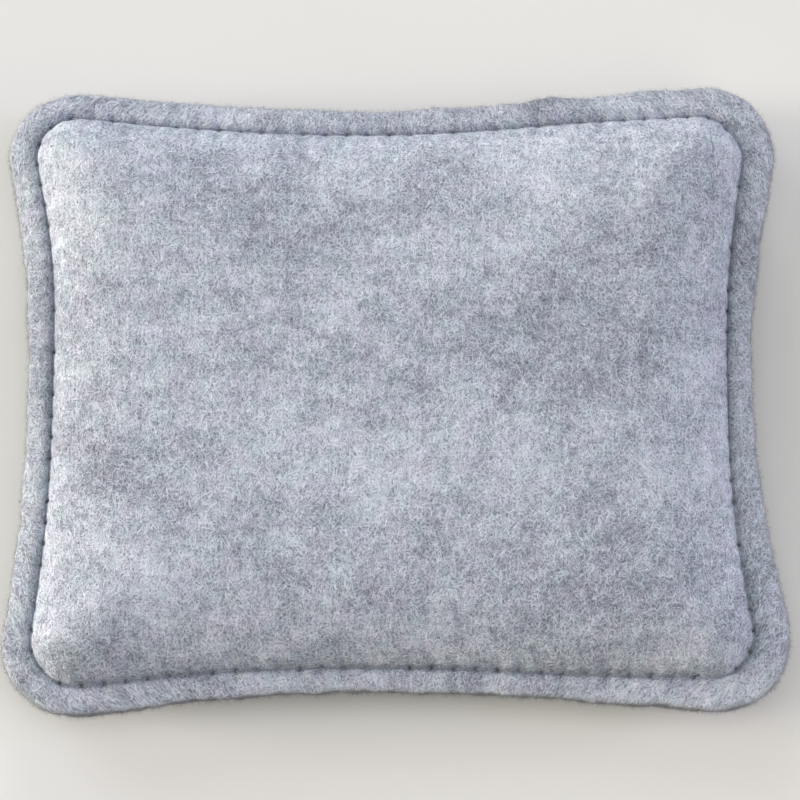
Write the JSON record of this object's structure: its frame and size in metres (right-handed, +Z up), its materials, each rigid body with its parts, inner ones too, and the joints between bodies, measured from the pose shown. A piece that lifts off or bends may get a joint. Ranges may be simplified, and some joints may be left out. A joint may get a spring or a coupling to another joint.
{
  "type": "needle felting pad",
  "caption": "Stuffed rectangular pad of thick grey felt with a stitched rim, drawn-in sides and a flat crown, to lay wool on and work it with felting needles.",
  "frame": {"origin": "on the surface that the pad lies on, under the middle of its outline", "axes": "+X along the long side, +Y along the short side towards the closing run of stitches, +Z up through the crown"},
  "size_m": [0.2, 0.163, 0.03],
  "materials": {
    "felt": "marled grey wool felt, matt, hairy",
    "thread": "twisted sewing thread, soft sheen",
    "grain": "dry whole grain, satin husk"
  },
  "bodies": {
    "root": {"top_felt": "felt", "bottom_felt": "felt", "grain_filling": "grain", "main_seam_needle_thread": "thread", "main_seam_bobbin_thread": "thread", "closing_seam_needle_thread": "thread", "closing_seam_bobbin_thread": "thread"}
  },
  "joints": []
}
